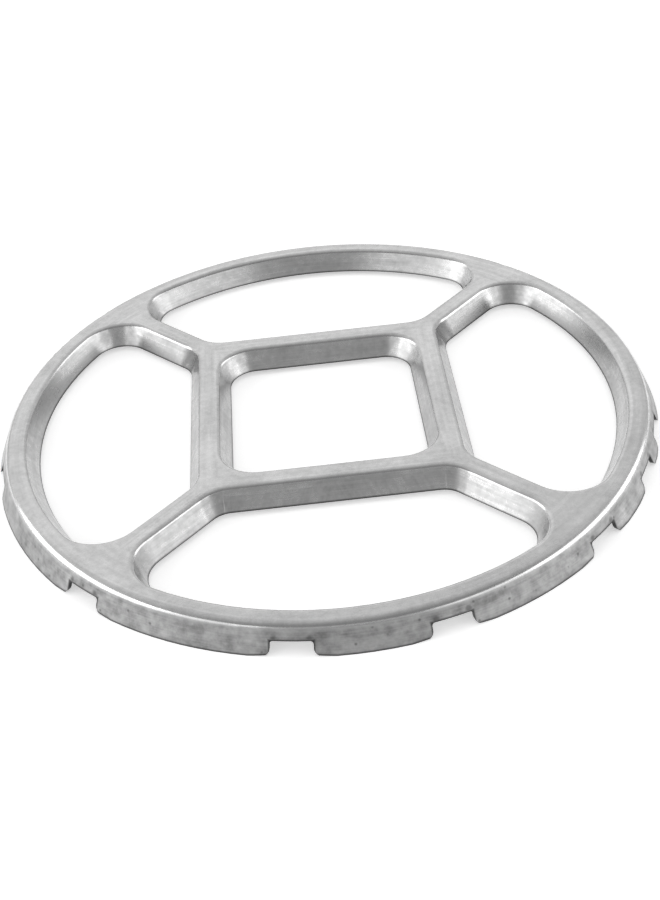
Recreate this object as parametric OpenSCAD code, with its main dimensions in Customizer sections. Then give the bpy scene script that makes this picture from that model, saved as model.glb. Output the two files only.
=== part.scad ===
// Wok ring: one round of sheet steel, pressed into a shallow grid that lies over a hob's pan support.
// The top is flat. Every opening has its edge turned down into a leaning wall, and the rim is turned
// down into a flared skirt, so bars, spokes and rim are all open channels of one sheet thickness.
// Z = 0 is the surface under the feet, and the Z axis is the centre of the ring.

/* [Overall] */
// Outer diameter, measured at the feet
foot_d = 240; // [226:1:264]
// Height of the flat top above the feet
height = 9.7; // [9:0.1:12]
// Thickness of the sheet
sheet_t = 1.2; // [0.8:0.1:1.6]

/* [Rim and skirt] */
// Width of the flat ring on top, between a side opening's bend and the rim's bend
rim_flat_w = 3.2; // [2.4:0.1:8]
// Inside radius of the bend from the flat top into the skirt
rim_bend_r = 1.8; // [1:0.1:3]
// Angle by which the skirt leans outwards from vertical
skirt_angle = 24.6; // [8:0.1:32]

/* [Openings] */
// Depth of the walls round the openings, from the flat top
wall_depth = 8; // [6:0.1:8.8]
// Angle by which those walls lean into their opening
wall_angle = 27.3; // [8:0.1:32]
// Inside radius of the bend from the flat top into those walls
wall_bend_r = 0.8; // [0.4:0.1:2]
// Distance between the middles of opposite bars of the square frame
frame_w = 84.5; // [78:0.5:92]
// Width of the flat on top of the frame's bars
bar_flat_w = 4.6; // [3:0.1:8]
// Width of the flat on top of the spokes
spoke_flat_w = 4.4; // [3:0.1:8]
// Corner radius of the square opening, at the start of its bend
square_corner_r = 15.2; // [11:0.1:20]
// Radius of a side opening's corners at the frame, at the start of its bend
frame_corner_r = 13.8; // [9:0.1:18]
// Radius of a side opening's corners at the rim, at the start of its bend
rim_corner_r = 16.5; // [10:0.1:21]

/* [Notches] */
// Finger counts of the pan supports that the ring fits
finger_counts = [4, 5, 6];
// Direction of the notch that all those patterns share
first_notch_angle = 45; // [0:15:90]
// Width of a notch
notch_w = 13.4; // [8:0.1:15]
// Height of a notch above the feet
notch_h = 4.7; // [4:0.1:6]
// Radius of a notch's upper corners
notch_corner_r = 1; // [0.3:0.1:1.6]
// Radius of the lower corners of the tabs between the notches
tab_corner_r = 2.4; // [0.5:0.1:3]
// Height by which a tab's ends are sprung up from the feet
tab_lift = 0.6; // [0.2:0.1:1]
// Length over which a tab's end rises by that
tab_lift_run = 7; // [4:0.5:12]

/* [Hidden] */
$fn = 144;

SPOKES = 4;
spoke_turn = 360 / SPOKES;
half_turn = spoke_turn / 2;

// The rim's outer edge of the flat, found from the feet inwards through the skirt and its bend
skirt_bend_out = rim_bend_r + sheet_t;
skirt_slant = (height - skirt_bend_out * (1 - sin(skirt_angle))) / cos(skirt_angle);
rim_flat_r = foot_d / 2 - skirt_bend_out * cos(skirt_angle) - skirt_slant * sin(skirt_angle);

// Nearest thousandth of a millimetre. The corners' centres are rounded to it, so that the walls that
// run into each other there are exactly in line.
function thou(v) = round(v * 1000) / 1000;

// Where each opening's bend starts
square_half = (frame_w - bar_flat_w) / 2;
side_start = (frame_w + bar_flat_w) / 2;
spoke_half = spoke_flat_w / 2;

// Centre of the square opening's corner
square_corner = [square_half - square_corner_r, square_half - square_corner_r];

// Centres of a side opening's corners at the frame and at the rim, seen with the spoke on the X axis
// and the opening on its +Y side
frame_corner = [
    thou((side_start + frame_corner_r) * sqrt(2) - spoke_half - frame_corner_r),
    spoke_half + frame_corner_r];
rim_corner = [
    thou(sqrt(pow(rim_flat_r - rim_flat_w - rim_corner_r, 2) - pow(spoke_half + rim_corner_r, 2))),
    spoke_half + rim_corner_r];
rim_corner_reach = norm(rim_corner);
rim_corner_angle = atan2(rim_corner[1], rim_corner[0]);

// Strip of the flat that each wall's section carries with it
strip_w = min(rim_flat_w, bar_flat_w, spoke_flat_w) / 3;
far = foot_d;

// All the fingers' directions, each named once
function finger_angles(counts, first) = [for (n = counts, i = [0 : n - 1]) (first + i * 360 / n) % 360];
function is_first(list, i) = len([for (j = [0 : 1 : i - 1]) if (abs(list[j] - list[i]) < 1) j]) == 0;
all_angles = finger_angles(finger_counts, first_notch_angle);
notch_angles = [for (i = [0 : len(all_angles) - 1]) if (is_first(all_angles, i)) all_angles[i]];

// Points of a round stretch
function arc(centre, r, from, to, steps) =
    [for (i = [0 : steps]) let (a = from + (to - from) * i / steps) centre + r * [cos(a), sin(a)]];
function turned(p, a) = [p[0] * cos(a) - p[1] * sin(a), p[0] * sin(a) + p[1] * cos(a)];

// A turn of 45 degrees, taken in two steps, which keeps the size of what it turns
module eighth_turn() {
    rotate(42.403) rotate(2.597) children();
}

// Section of a turned-down edge. The bend starts at the origin and X points outwards from the sheet.
// A strip of the flat lies behind it, and the wall below the bend is cut off level.
module turned_edge(bend_r, lean, depth) {
    bend_out = bend_r + sheet_t;
    translate([-strip_w, -sheet_t]) square([strip_w, sheet_t]);
    difference() {
        translate([0, -bend_out]) {
            intersection() {
                difference() {
                    circle(bend_out);
                    circle(bend_r);
                }
                square(2 * bend_out);
                rotate(lean) square(2 * bend_out);
            }
            rotate(lean) translate([bend_r, -2 * depth]) square([sheet_t, 2 * depth]);
        }
        translate([-depth, -4 * depth]) square([4 * depth, 3 * depth]);
    }
}

// The section of an opening's wall, at radius r from an axis inside the opening
module wall_section(r) {
    translate([r, 0]) mirror([1, 0]) turned_edge(wall_bend_r, wall_angle, wall_depth);
}

// A straight stretch of wall that reaches from the XZ plane along -Y
module straight_wall(r, run) {
    rotate([90, 0, 0]) linear_extrude(run) wall_section(r);
}

// The wall of the square opening: four corners, each with half of the side before and after it
module square_opening_wall() {
    for (i = [0 : SPOKES - 1]) rotate(i * spoke_turn) {
        translate(square_corner) rotate_extrude(angle = spoke_turn) wall_section(square_corner_r);
        straight_wall(square_half, square_corner[1]);
        mirror([0, 1, 0]) straight_wall(square_half, square_corner[1]);
    }
}

// All space on the far side of the line from the ring's centre through a rim corner's centre.
// The corner's bend and the long bend along the rim meet on that line.
module past_rim_corner() {
    linear_extrude(3 * height, center = true) polygon([[0, 0], 2 * rim_corner, [0, far]]);
}

// Half of a side opening's wall, seen with the spoke on the X axis and the opening on its +Y side:
// frame, frame corner, spoke, rim corner and rim, up to the opening's own middle line
module half_side_wall() {
    translate(frame_corner) {
        rotate(180) eighth_turn() straight_wall(frame_corner_r, (frame_corner[0] - frame_corner[1]) / sqrt(2) + 1);
        rotate_extrude(start = 180 + half_turn, angle = half_turn) wall_section(frame_corner_r);
    }
    translate(rim_corner) rotate(270) straight_wall(rim_corner_r, rim_corner[0] - frame_corner[0]);
    difference() {
        translate(rim_corner) rotate_extrude(start = 270, angle = 90 + half_turn) wall_section(rim_corner_r);
        past_rim_corner();
    }
    intersection() {
        rotate_extrude(angle = half_turn)
            translate([thou(rim_corner_reach), 0])
                translate([rim_corner_reach - thou(rim_corner_reach), 0])
                    wall_section(rim_corner_r);
        past_rim_corner();
    }
}

// Plan of the square opening, a little way back from its bend
module square_plan() {
    polygon([for (i = [0 : SPOKES - 1])
        for (p = arc(square_corner, square_corner_r + strip_w / 2, 0, spoke_turn, 6)) turned(p, i * spoke_turn)]);
}

// Plan of a side opening, a little way back from its bend, seen as its half wall is
module side_plan() {
    half = concat(
        arc(frame_corner, frame_corner_r + strip_w / 2, 180 + half_turn, 270, 3),
        arc(rim_corner, rim_corner_r + strip_w / 2, 270, 360 + rim_corner_angle, 7),
        arc([0, 0], rim_corner_reach + rim_corner_r + strip_w / 2, rim_corner_angle, half_turn, 5));
    last = len(half) - 1;
    polygon(concat(half, [for (i = [1 : last]) [half[last - i][1], half[last - i][0]]]));
}

// The flat top between all the bends
module flat_top() {
    translate([0, 0, height - sheet_t]) linear_extrude(sheet_t) difference() {
        circle(rim_flat_r - strip_w / 2);
        square_plan();
        for (i = [0 : SPOKES - 1]) rotate(half_turn + i * spoke_turn) side_plan();
    }
}

// Outline of one notch, with its middle on the Y axis and the feet on the X axis. The tabs' feet rise
// gently towards it and end in a round corner.
module notch_outline() {
    upper = [notch_w / 2 - notch_corner_r, notch_h - notch_corner_r];
    lower = [notch_w / 2 + tab_corner_r, tab_corner_r + tab_lift / 2];
    reach = notch_w / 2 + 2 * tab_lift_run;
    polygon([[-reach, -tab_lift], [-notch_w / 2, tab_lift], [notch_w / 2, tab_lift], [reach, -tab_lift]]);
    difference() {
        translate([-lower[0], -1]) square([2 * lower[0], 1 + lower[1]]);
        for (s = [-1, 1]) translate([s * lower[0], lower[1]]) circle(tab_corner_r);
    }
    translate([-notch_w / 2, -1]) square([notch_w, 1 + upper[1]]);
    translate([-upper[0], -1]) square([2 * upper[0], 1 + notch_h]);
    for (s = [-1, 1]) translate([s * upper[0], upper[1]]) circle(notch_corner_r);
}

// Space of one notch on the X axis
module notch() {
    translate([rim_flat_r, 0, 0]) rotate([90, 0, 90]) linear_extrude(foot_d / 2 - rim_flat_r + 1)
        notch_outline();
}

// The bend round the rim and the flared skirt below it, which the notches leave standing as tabs
module skirt() {
    difference() {
        translate([0, 0, height]) rotate_extrude() translate([rim_flat_r, 0])
            turned_edge(rim_bend_r, skirt_angle, height);
        for (a = notch_angles) rotate(a) notch();
    }
}

module wok_ring() {
    color("#c4c4c4") {
        flat_top();
        skirt();
        translate([0, 0, height]) {
            square_opening_wall();
            for (i = [0 : SPOKES - 1]) rotate(i * spoke_turn) eighth_turn() {
                half_side_wall();
                mirror([0, 1, 0]) half_side_wall();
            }
        }
    }
}

wok_ring();
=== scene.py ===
import math

import bpy
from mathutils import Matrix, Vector


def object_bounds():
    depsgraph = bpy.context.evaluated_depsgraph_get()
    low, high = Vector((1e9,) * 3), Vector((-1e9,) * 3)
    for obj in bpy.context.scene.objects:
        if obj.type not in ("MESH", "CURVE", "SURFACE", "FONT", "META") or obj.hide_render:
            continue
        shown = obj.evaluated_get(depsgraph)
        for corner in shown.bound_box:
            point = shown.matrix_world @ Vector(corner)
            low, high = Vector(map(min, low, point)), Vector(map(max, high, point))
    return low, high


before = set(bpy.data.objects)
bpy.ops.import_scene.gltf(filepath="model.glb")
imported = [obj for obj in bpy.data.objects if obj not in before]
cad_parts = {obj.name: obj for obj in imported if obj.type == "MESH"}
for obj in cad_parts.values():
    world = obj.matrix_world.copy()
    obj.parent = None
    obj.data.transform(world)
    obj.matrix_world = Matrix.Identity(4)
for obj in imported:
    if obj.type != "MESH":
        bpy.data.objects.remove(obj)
cad_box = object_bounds()

# The camera: a short telephoto lens half a metre from the ring, a little left of its middle, looking
# down on its near edge. It is rolled a few degrees, so the far edge runs slightly uphill to the right.
CAMERA_PLACE = (-0.00444, -0.4021, 0.292744)
CAMERA_TURN_DEG = (52.4958, 4.6763, -4.2593)
LENS_MM = 53.81

bpy.ops.object.camera_add(location=CAMERA_PLACE, rotation=[math.radians(a) for a in CAMERA_TURN_DEG])
camera = bpy.context.object
camera.data.lens = LENS_MM
camera.data.sensor_width = 36
camera.data.clip_start = 0.01
camera.data.clip_end = 20
bpy.context.scene.camera = camera


# The wok ring: one round of stainless sheet, cut and pressed in one go, so nothing is fixed to it. It
# keeps the satin skin of the rolling mill, which the die clouded and streaked where it drew the sheet
# down, with buckled spots above its notches and a dark line along every cut edge. Painted shade colours
# the walls and skirt darker than the flat top, and darkens the buckled spots.
STEEL_HEX = "#D8D8D8"
# The darker colour serves both the stains and the painted shade on the walls and skirt.
STAIN_AND_SHADE_HEX = "#7A7A7A"
# The darkest colour: the line along the cut edges, the pits, and the painted shade in the buckles.
EDGE_PIT_AND_SHADE_HEX = "#4A4A4A"

# Sizes in metres of what the marks on the skin follow.
FOOT_R = cad_box[1][0]
TOP_Z = cad_box[1][2]
SKIRT_LEAN = math.radians(24.6)
BEND_OUT = 0.003
WALL_DEPTH = 0.008
WALL_LEAN = math.radians(27.3)
WALL_BEND_OUT = 0.002
FRAME_MIDDLE = 0.04225
SQUARE_CORNER = (0.02475, 0.02475)
FRAME_CORNER = (0.06065, 0.03802)
RIM_CORNER = (0.07831, 0.05187)
FRAME_BAR_END = 0.0472
SPOKE_END = 0.1
NOTCH_HALF = 0.0067
NOTCH_TOP = 0.0047
TAB_LIFT = 0.0006
TAB_LIFT_RUN = 0.007
FIRST_NOTCH = math.radians(45)
FINGER_COUNTS = (4, 5, 6)

# Sizes of the marks themselves. The mill's own grain is a few hundredths of a millimetre wide, which
# the picture can't show, so it is drawn coarser.
CLOUD_MM = 14
MOTTLE_MM = 2.4
GRAIN_MM = 0.7
BAND_MM = 1.9
BAND_LENGTH_MM = 45
STREAK_MM = 0.45
PATCH_MM = 4
PIT_MM = 4.5
EDGE_LINE_WIDTH = 0.0004
BUCKLE_R = 0.0015
BUCKLE_PLACE = (-0.0013, 0.0009)


def linear(hex_colour):
    """The linear colour of an sRGB hex value."""
    parts = [int(hex_colour[i : i + 2], 16) / 255 for i in (1, 3, 5)]
    return [p / 12.92 if p <= 0.04045 else ((p + 0.055) / 1.055) ** 2.4 for p in parts] + [1]


def add_node(owner, kind, inputs=None, **settings):
    """Adds a node with its settings. An input is a value, a socket, or a node that gives its first output."""
    node = owner.node_tree.nodes.new(kind)
    for name, value in settings.items():
        setattr(node, name, value)
    for name, value in (inputs or {}).items():
        source = value.outputs[0] if isinstance(value, bpy.types.Node) else value
        if isinstance(source, bpy.types.NodeSocket):
            owner.node_tree.links.new(source, node.inputs[name])
        else:
            node.inputs[name].default_value = source
    return node


# Satin stainless steel: cold rolled and pickled, so it is a neutral grey with a soft, slightly clouded
# gloss. It keeps a metal's own reflection, and its grain spreads that a little.
steel = bpy.data.materials.new("satin_stainless_steel")
steel.use_nodes = True
shader = steel.node_tree.nodes["Principled BSDF"]
shader.inputs["Metallic"].default_value = 1

place = add_node(steel, "ShaderNodeTexCoord").outputs["Object"]
spot = add_node(steel, "ShaderNodeSeparateXYZ", {0: place})
x, y, z = spot.outputs
level = add_node(steel, "ShaderNodeVectorMath", {0: place, 1: (1, 1, 0)}, operation="MULTIPLY")
reach = add_node(steel, "ShaderNodeVectorMath", {0: level}, operation="LENGTH").outputs["Value"]
turn = add_node(steel, "ShaderNodeMath", {0: y, 1: x}, operation="ARCTAN2")

# Which way the skin faces. The mesh of the rim's bend is made of small flats, and light runs smoothly
# round the real one, so its facing is worked out from the bend's centre line: straight up on the flat
# top, turning round the bend, then leaning as the skirt does.
slant = (TOP_Z - BEND_OUT * (1 - math.sin(SKIRT_LEAN))) / math.cos(SKIRT_LEAN)
flat_r = FOOT_R - BEND_OUT * math.cos(SKIRT_LEAN) - slant * math.sin(SKIRT_LEAN)
past_flat = add_node(steel, "ShaderNodeMath", {0: reach, 1: flat_r}, operation="SUBTRACT")
outwards = add_node(steel, "ShaderNodeMath", {0: past_flat, 1: 0.0}, operation="MAXIMUM")
upwards = add_node(steel, "ShaderNodeMath", {0: z, 1: TOP_Z - BEND_OUT}, operation="SUBTRACT")
rim_turn = add_node(steel, "ShaderNodeMath", {0: outwards, 1: upwards}, operation="ARCTAN2")
rim_tilt = add_node(steel, "ShaderNodeMath", {0: rim_turn, 1: math.pi / 2 - SKIRT_LEAN}, operation="MINIMUM")
below_top = add_node(steel, "ShaderNodeMath", {0: TOP_Z, 1: z}, operation="SUBTRACT")
bend_left = add_node(
    steel, "ShaderNodeMath", {0: below_top, 1: -1 / WALL_BEND_OUT, 2: 1.0}, operation="MULTIPLY_ADD"
)
wall_turn = add_node(steel, "ShaderNodeMath", {0: bend_left}, operation="ARCCOSINE")
wall_tilt = add_node(steel, "ShaderNodeMath", {0: wall_turn, 1: math.pi / 2 - WALL_LEAN}, operation="MINIMUM")
on_rim = add_node(steel, "ShaderNodeMath", {0: reach, 1: flat_r}, operation="GREATER_THAN")
tilt = add_node(steel, "ShaderNodeMix", {0: on_rim, 2: wall_tilt, 3: rim_tilt})
tilt_sine = add_node(steel, "ShaderNodeMath", {0: tilt}, operation="SINE")
tilt_cosine = add_node(steel, "ShaderNodeMath", {0: tilt}, operation="COSINE")

# The level part of it: away from the ring's centre on the rim's outside and towards it on the rim's
# wall, towards the corner's own centre in each corner, and as the mesh has it on the straight walls.
mesh = add_node(steel, "ShaderNodeNewGeometry")
from_centre = add_node(steel, "ShaderNodeVectorMath", {0: level}, operation="NORMALIZE")
to_middle = add_node(steel, "ShaderNodeVectorMath", {0: from_centre, "Scale": -1.0}, operation="SCALE")
mesh_level = add_node(
    steel, "ShaderNodeVectorMath", {0: mesh.outputs["True Normal"], 1: (1, 1, 0)}, operation="MULTIPLY"
)
mesh_way = add_node(steel, "ShaderNodeVectorMath", {0: mesh_level}, operation="NORMALIZE")
past_spoke = add_node(steel, "ShaderNodeMath", {0: reach, 1: SPOKE_END}, operation="GREATER_THAN")
wall_way = add_node(
    steel, "ShaderNodeMix", {0: past_spoke, 4: mesh_way, 5: to_middle}, data_type="VECTOR"
).outputs[1]
signs = add_node(steel, "ShaderNodeVectorMath", {0: level}, operation="SIGN")
x_far = add_node(steel, "ShaderNodeMath", {0: x}, operation="ABSOLUTE")
y_far = add_node(steel, "ShaderNodeMath", {0: y}, operation="ABSOLUTE")
more_x = add_node(steel, "ShaderNodeMath", {0: x_far, 1: y_far}, operation="GREATER_THAN")
far = add_node(steel, "ShaderNodeMath", {0: x_far, 1: y_far}, operation="MAXIMUM")
near = add_node(steel, "ShaderNodeMath", {0: x_far, 1: y_far}, operation="MINIMUM")
both = add_node(steel, "ShaderNodeMath", {0: x_far, 1: y_far}, operation="ADD")
in_frame = add_node(steel, "ShaderNodeMath", {0: far, 1: FRAME_MIDDLE}, operation="LESS_THAN")
past_frame = add_node(steel, "ShaderNodeMath", {0: far, 1: FRAME_MIDDLE}, operation="GREATER_THAN")
slope = add_node(steel, "ShaderNodeMath", {0: near, 1: far}, operation="DIVIDE")
for (middle_far, middle_near), kind, region in (
    (SQUARE_CORNER, "GREATER_THAN", in_frame),
    (FRAME_CORNER, "LESS_THAN", past_frame),
    (RIM_CORNER, "GREATER_THAN", past_frame),
):
    middle = add_node(
        steel,
        "ShaderNodeMix",
        {0: more_x, 4: (middle_near, middle_far, 0), 5: (middle_far, middle_near, 0)},
        data_type="VECTOR",
    ).outputs[1]
    own_middle = add_node(steel, "ShaderNodeVectorMath", {0: middle, 1: signs}, operation="MULTIPLY")
    to_own_middle = add_node(steel, "ShaderNodeVectorMath", {0: own_middle, 1: level}, operation="SUBTRACT")
    corner_way = add_node(steel, "ShaderNodeVectorMath", {0: to_own_middle}, operation="NORMALIZE")
    half_way = add_node(steel, "ShaderNodeMath", {0: both, 1: middle_far + middle_near}, operation=kind)
    if kind == "LESS_THAN" or region == in_frame:
        other_half = add_node(steel, "ShaderNodeMath", {0: near, 1: middle_near}, operation="GREATER_THAN")
    else:
        other_half = add_node(
            steel, "ShaderNodeMath", {0: slope, 1: middle_near / middle_far}, operation="GREATER_THAN"
        )
    within = add_node(steel, "ShaderNodeMath", {0: half_way, 1: other_half}, operation="MULTIPLY")
    here = add_node(steel, "ShaderNodeMath", {0: within, 1: region}, operation="MULTIPLY")
    wall_way = add_node(
        steel, "ShaderNodeMix", {0: here, 4: wall_way, 5: corner_way}, data_type="VECTOR"
    ).outputs[1]
facing_way = add_node(
    steel, "ShaderNodeMix", {0: on_rim, 4: wall_way, 5: from_centre}, data_type="VECTOR"
).outputs[1]

# Both parts together. The underside of the walls and the cut edges keep the mesh's own facing.
rise = add_node(steel, "ShaderNodeCombineXYZ", {2: tilt_cosine})
skin_facing = add_node(
    steel, "ShaderNodeVectorMath", {0: facing_way, 1: tilt_sine, 2: rise}, operation="MULTIPLY_ADD"
)
match = add_node(
    steel, "ShaderNodeVectorMath", {0: skin_facing, 1: mesh.outputs["True Normal"]}, operation="DOT_PRODUCT"
)
side = add_node(steel, "ShaderNodeMath", {0: match.outputs["Value"]}, operation="ROUND")
lowest_side = add_node(steel, "ShaderNodeMath", {0: on_rim, 1: -1.0}, operation="MULTIPLY")
known_side = add_node(steel, "ShaderNodeMath", {0: side, 1: lowest_side}, operation="MAXIMUM")
is_known = add_node(steel, "ShaderNodeMath", {0: known_side}, operation="ABSOLUTE")
known_facing = add_node(
    steel, "ShaderNodeVectorMath", {0: skin_facing, "Scale": known_side}, operation="SCALE"
)
facing = add_node(
    steel,
    "ShaderNodeMix",
    {0: is_known, 4: mesh.outputs["Normal"], 5: known_facing},
    data_type="VECTOR",
).outputs[1]
facing_parts = add_node(steel, "ShaderNodeSeparateXYZ", {0: facing})

# Bands along the bars, where the die's edges rubbed: square round the frame, in line with the spokes,
# and round the rim.
across_spoke = add_node(steel, "ShaderNodeMath", {0: x_far, 1: y_far}, operation="SUBTRACT")
past_bar = add_node(steel, "ShaderNodeMath", {0: far, 1: FRAME_BAR_END}, operation="GREATER_THAN")
across_inside = add_node(steel, "ShaderNodeMix", {0: past_bar, 2: far, 3: across_spoke})
across = add_node(steel, "ShaderNodeMix", {0: past_spoke, 2: across_inside, 3: reach})
band_across = add_node(steel, "ShaderNodeMath", {0: across, 1: BAND_LENGTH_MM / BAND_MM}, operation="MULTIPLY")
band_place = add_node(steel, "ShaderNodeCombineXYZ", {0: x, 1: y, 2: band_across})
bands = add_node(
    steel, "ShaderNodeTexNoise", {"Vector": band_place, "Scale": 1000 / BAND_LENGTH_MM, "Detail": 3.0}
)

# Streaks that the draw left on walls and skirt. They run level, so they are long and thin in height.
streak_height = add_node(steel, "ShaderNodeMath", {0: z, 1: CLOUD_MM / STREAK_MM}, operation="MULTIPLY")
streak_place = add_node(steel, "ShaderNodeCombineXYZ", {0: x, 1: y, 2: streak_height})
streaks = add_node(
    steel, "ShaderNodeTexNoise", {"Vector": streak_place, "Scale": 1000 / CLOUD_MM, "Detail": 3.0}
)

# Clouds, mottling and grain in the skin, and a few pits pressed into the skirt by swarf.
clouds = add_node(steel, "ShaderNodeTexNoise", {"Vector": place, "Scale": 1000 / CLOUD_MM, "Detail": 2.0})
mottle = add_node(steel, "ShaderNodeTexNoise", {"Vector": place, "Scale": 1000 / MOTTLE_MM, "Detail": 4.0})
grain = add_node(steel, "ShaderNodeTexNoise", {"Vector": place, "Scale": 1000 / GRAIN_MM, "Detail": 3.0})
patches = add_node(steel, "ShaderNodeTexNoise", {"Vector": place, "Scale": 1000 / PATCH_MM, "Detail": 5.0})
pit_cells = add_node(steel, "ShaderNodeTexVoronoi", {"Vector": place, "Scale": 1000 / PIT_MM})
pit_spots = add_node(
    steel,
    "ShaderNodeMapRange",
    {"Value": pit_cells, "From Min": 0.05, "From Max": 0.14, "To Min": 1.0, "To Max": 0.0},
)
skirt_top = TOP_Z - BEND_OUT * (1 - math.sin(SKIRT_LEAN))
below_bend = add_node(
    steel,
    "ShaderNodeMapRange",
    {"Value": z, "From Min": skirt_top - 0.0006, "From Max": skirt_top + 0.0006, "To Min": 1.0, "To Max": 0.0},
)
on_skirt = add_node(steel, "ShaderNodeMath", {0: on_rim, 1: below_bend}, operation="MULTIPLY")
pits = add_node(steel, "ShaderNodeMath", {0: pit_spots, 1: on_skirt}, operation="MULTIPLY")
patch_spots = add_node(
    steel, "ShaderNodeMapRange", {"Value": patches, "From Min": 0.35, "From Max": 0.65, "To Min": 0.12, "To Max": 0.48}
)
blotches = add_node(steel, "ShaderNodeMath", {0: patch_spots, 1: on_skirt}, operation="MULTIPLY")

# How far along the rim the nearest notch is. The notches are three even patterns with one in common.
nearest = math.pi
for count in FINGER_COUNTS:
    step = 2 * math.pi / count
    past = add_node(steel, "ShaderNodeMath", {0: turn, 1: FIRST_NOTCH}, operation="SUBTRACT")
    either_way = add_node(steel, "ShaderNodeMath", {0: past, 1: step / 2, 2: -step / 2}, operation="WRAP")
    away = add_node(steel, "ShaderNodeMath", {0: either_way}, operation="ABSOLUTE")
    nearest = add_node(steel, "ShaderNodeMath", {0: away, 1: nearest}, operation="MINIMUM")
along_rim = add_node(steel, "ShaderNodeMath", {0: nearest, 1: reach}, operation="MULTIPLY")
beside_notch = add_node(steel, "ShaderNodeMath", {0: along_rim, 1: NOTCH_HALF}, operation="SUBTRACT")
above_notch = add_node(steel, "ShaderNodeMath", {0: z, 1: NOTCH_TOP}, operation="SUBTRACT")

# A dark line within a third of a millimetre of a notch, of the feet and of the walls' lower edges.
lift_slope = -TAB_LIFT / TAB_LIFT_RUN
foot_rise = add_node(
    steel, "ShaderNodeMath", {0: beside_notch, 1: lift_slope, 2: TAB_LIFT}, operation="MULTIPLY_ADD"
)
foot_height = add_node(steel, "ShaderNodeMath", {0: foot_rise, 1: 0.0}, operation="MAXIMUM")
foot_gap = add_node(steel, "ShaderNodeMath", {0: z, 1: foot_height}, operation="SUBTRACT")
notch_gap = add_node(steel, "ShaderNodeMath", {0: beside_notch, 1: above_notch}, operation="MAXIMUM")
rim_gap = add_node(steel, "ShaderNodeMath", {0: notch_gap, 1: foot_gap}, operation="MINIMUM")
wall_gap = add_node(steel, "ShaderNodeMath", {0: z, 1: TOP_Z - WALL_DEPTH}, operation="SUBTRACT")
edge_gap = add_node(steel, "ShaderNodeMix", {0: on_rim, 2: wall_gap, 3: rim_gap})
dark_edge_line = add_node(
    steel,
    "ShaderNodeMapRange",
    {
        "Value": edge_gap,
        "From Min": EDGE_LINE_WIDTH * 0.4,
        "From Max": EDGE_LINE_WIDTH * 1.8,
        "To Min": 1.0,
        "To Max": 0.0,
    },
)

# The buckled spots just above a notch, near both ends of its top edge, uneven in outline. They are dented in
# the relief, and they are also coloured dark as painted shade of those dents.
buckle_out = add_node(steel, "ShaderNodeMath", {0: beside_notch, 1: BUCKLE_PLACE[0]}, operation="SUBTRACT")
buckle_up = add_node(steel, "ShaderNodeMath", {0: above_notch, 1: BUCKLE_PLACE[1]}, operation="SUBTRACT")
buckle_way = add_node(steel, "ShaderNodeCombineXYZ", {0: buckle_out, 1: buckle_up})
buckle_far = add_node(steel, "ShaderNodeVectorMath", {0: buckle_way}, operation="LENGTH").outputs["Value"]
buckle_edge = add_node(
    steel, "ShaderNodeMath", {0: mottle, 1: 0.0016, 2: buckle_far}, operation="MULTIPLY_ADD"
)
buckle_spots = add_node(
    steel,
    "ShaderNodeMapRange",
    {
        "Value": buckle_edge,
        "From Min": 0.0008 + BUCKLE_R * 0.2,
        "From Max": 0.0008 + BUCKLE_R,
        "To Min": 1.0,
        "To Max": 0.0,
    },
    interpolation_type="SMOOTHSTEP",
)
buckle_dents_and_shade = add_node(steel, "ShaderNodeMath", {0: buckle_spots, 1: on_rim}, operation="MULTIPLY")

# Colour: the steel, stained in clouds, bands and streaks, with painted shade that colours the walls and
# skirt darker than the flat top, and dark at the cut edges' line, in the buckles as painted shade, and at the pits.
# Painted shade: the walls and skirt, which face further to the side, are coloured darker than the flat top.
painted_wall_shade = add_node(
    steel,
    "ShaderNodeMapRange",
    {"Value": facing_parts.outputs[2], "From Min": 0.48, "From Max": 0.64, "To Min": 0.35, "To Max": 0.0},
)
stain_and_shade = painted_wall_shade
for part, share in ((clouds, 0.4), (mottle, 0.5), (bands, 0.6), (streaks, 0.4), (grain, 0.25), (blotches, 1.0)):
    stain_and_shade = add_node(steel, "ShaderNodeMath", {0: part, 1: share, 2: stain_and_shade}, operation="MULTIPLY_ADD")
stained_and_shaded = add_node(steel, "ShaderNodeMapRange", {"Value": stain_and_shade, "From Min": 0.85, "From Max": 2.1})
skin = add_node(
    steel,
    "ShaderNodeMix",
    {0: stained_and_shaded, 6: linear(STEEL_HEX), 7: linear(STAIN_AND_SHADE_HEX)},
    data_type="RGBA",
).outputs[2]
# Painted shade in the buckles, dark pits, and the dark line along the cut edges.
dark_spots = add_node(steel, "ShaderNodeMath", {0: buckle_dents_and_shade, 1: pits}, operation="MAXIMUM")
dark_part = add_node(steel, "ShaderNodeMath", {0: dark_spots, 1: 0.6}, operation="MULTIPLY")
dark = add_node(steel, "ShaderNodeMath", {0: dark_part, 1: dark_edge_line}, operation="MAXIMUM")
colour = add_node(
    steel, "ShaderNodeMix", {0: dark, 6: skin, 7: linear(EDGE_PIT_AND_SHADE_HEX)}, data_type="RGBA"
).outputs[2]
steel.node_tree.links.new(colour, shader.inputs["Base Color"])

# Gloss: stained metal spreads the light more.
gloss = add_node(
    steel,
    "ShaderNodeMapRange",
    {"Value": stain_and_shade, "From Min": 0.85, "From Max": 1.6, "To Min": 0.15, "To Max": 0.34},
)
steel.node_tree.links.new(gloss.outputs[0], shader.inputs["Roughness"])

# Relief: mottling, bands and streaks a few microns high, and buckles a few hundredths deep.
RELIEF = ((mottle, 0.000012), (streaks, 0.000006), (bands, 0.000014), (grain, 0.000003), (buckle_dents_and_shade, -0.00006))
relief = 0.0
for part, height in RELIEF:
    relief = add_node(steel, "ShaderNodeMath", {0: part, 1: height, 2: relief}, operation="MULTIPLY_ADD")
bump = add_node(steel, "ShaderNodeBump", {"Distance": 1.0, "Height": relief, "Normal": facing})
steel.node_tree.links.new(bump.outputs[0], shader.inputs["Normal"])

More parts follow.
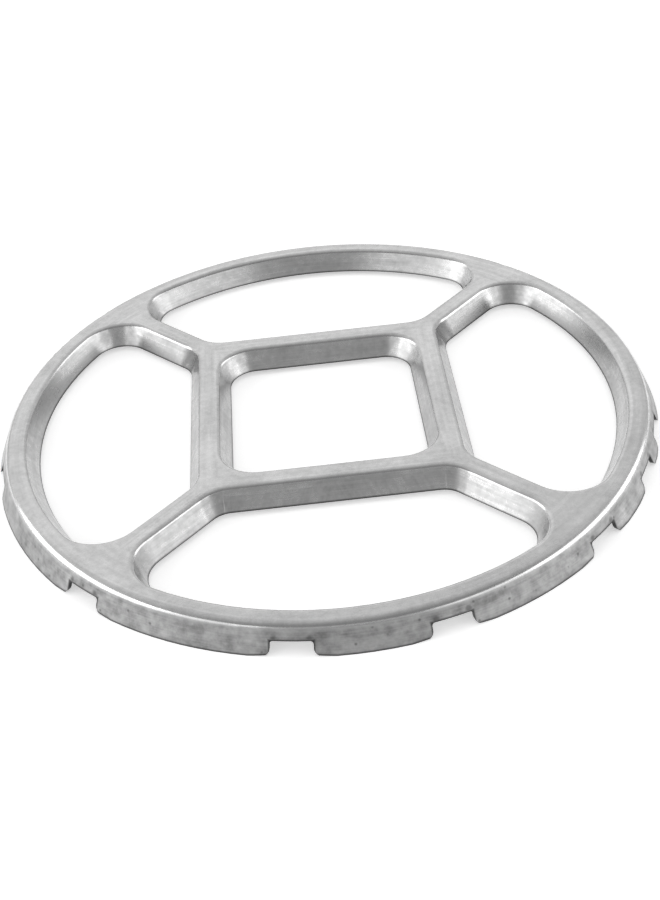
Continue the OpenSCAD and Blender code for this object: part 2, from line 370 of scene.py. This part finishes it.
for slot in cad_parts["wok_ring"].material_slots:
    slot.material = steel


# The studio: a white table in a white tent, which isn't part of the ring. Broad soft lamps stand low at
# both sides of the tent and weaker ones at its front corners, front and back. Its roof is dim.
TABLE_HEX = "#F4F4F4"
TABLE_GLOW = 0.45

bpy.ops.object.select_all(action="DESELECT")
bpy.ops.mesh.primitive_plane_add(size=40, location=(0, 0, 0))
table = bpy.context.object
table.name = "table"
white = bpy.data.materials.new("white_table")
white.use_nodes = True
white_shader = white.node_tree.nodes["Principled BSDF"]
white_shader.inputs["Base Color"].default_value = linear(TABLE_HEX)
white_shader.inputs["Roughness"].default_value = 0.9
white_shader.inputs["Emission Color"].default_value = (1, 1, 1, 1)
rays = add_node(white, "ShaderNodeLightPath").outputs
mirrored = add_node(
    white, "ShaderNodeMath", {0: rays["Is Glossy Ray"], 1: rays["Is Transmission Ray"]}, operation="MAXIMUM"
)
seen = add_node(white, "ShaderNodeMath", {0: rays["Is Camera Ray"], 1: mirrored}, operation="MAXIMUM")
glow = add_node(white, "ShaderNodeMath", {0: seen, 1: TABLE_GLOW}, operation="MULTIPLY")
white.node_tree.links.new(glow.outputs[0], white_shader.inputs["Emission Strength"])
table.data.materials.append(white)

# The air of the tent, dim overhead and on the lens's side, and brighter towards the back wall.
FRONT_LEVEL = 0.30
BACK_LEVEL = 0.78
BACK_WAY = (-0.17, 0.89, 0.42)
world = bpy.data.worlds.new("tent_air")
bpy.context.scene.world = world
world.use_nodes = True
air = world.node_tree.nodes["Background"]
air.inputs["Color"].default_value = (1, 1, 1, 1)
way = add_node(world, "ShaderNodeTexCoord").outputs["Generated"]
to_back = add_node(world, "ShaderNodeVectorMath", {0: way, 1: BACK_WAY}, operation="DOT_PRODUCT")
fade = add_node(
    world,
    "ShaderNodeMapRange",
    {"Value": to_back.outputs["Value"], "From Min": -0.3, "To Min": FRONT_LEVEL, "To Max": BACK_LEVEL},
    interpolation_type="SMOOTHSTEP",
)
world.node_tree.links.new(fade.outputs[0], air.inputs["Strength"])


def soft_light(name, place_m, size_m, brightness):
    """A soft light of that width and height that faces the ring. White paper lit plainly is 1."""
    aim = Vector((0, 0, 0)) - Vector(place_m)
    bpy.ops.object.light_add(type="AREA", location=place_m, rotation=aim.to_track_quat("-Z", "Y").to_euler())
    light = bpy.context.object
    light.name = name
    light.data.shape = "RECTANGLE"
    light.data.size, light.data.size_y = size_m
    light.data.energy = brightness * math.pi * size_m[0] * size_m[1]


soft_light("back_light", (-0.5, 1.5, 0.95), (2.2, 0.9), 0.2)
soft_light("left_light", (-1.6, 0.0, 0.62), (1.8, 1.0), 2.1)
soft_light("right_light", (1.6, 0.0, 0.62), (1.8, 1.0), 1.7)
soft_light("left_front_light", (-1.3, -1.2, 0.66), (1.3, 1.0), 1.0)
soft_light("right_front_light", (1.3, -1.2, 0.66), (1.3, 1.0), 1.0)
soft_light("front_light", (0.1, -1.7, 0.66), (2.4, 0.8), 0.25)

bpy.context.scene.view_settings.view_transform = "Standard"
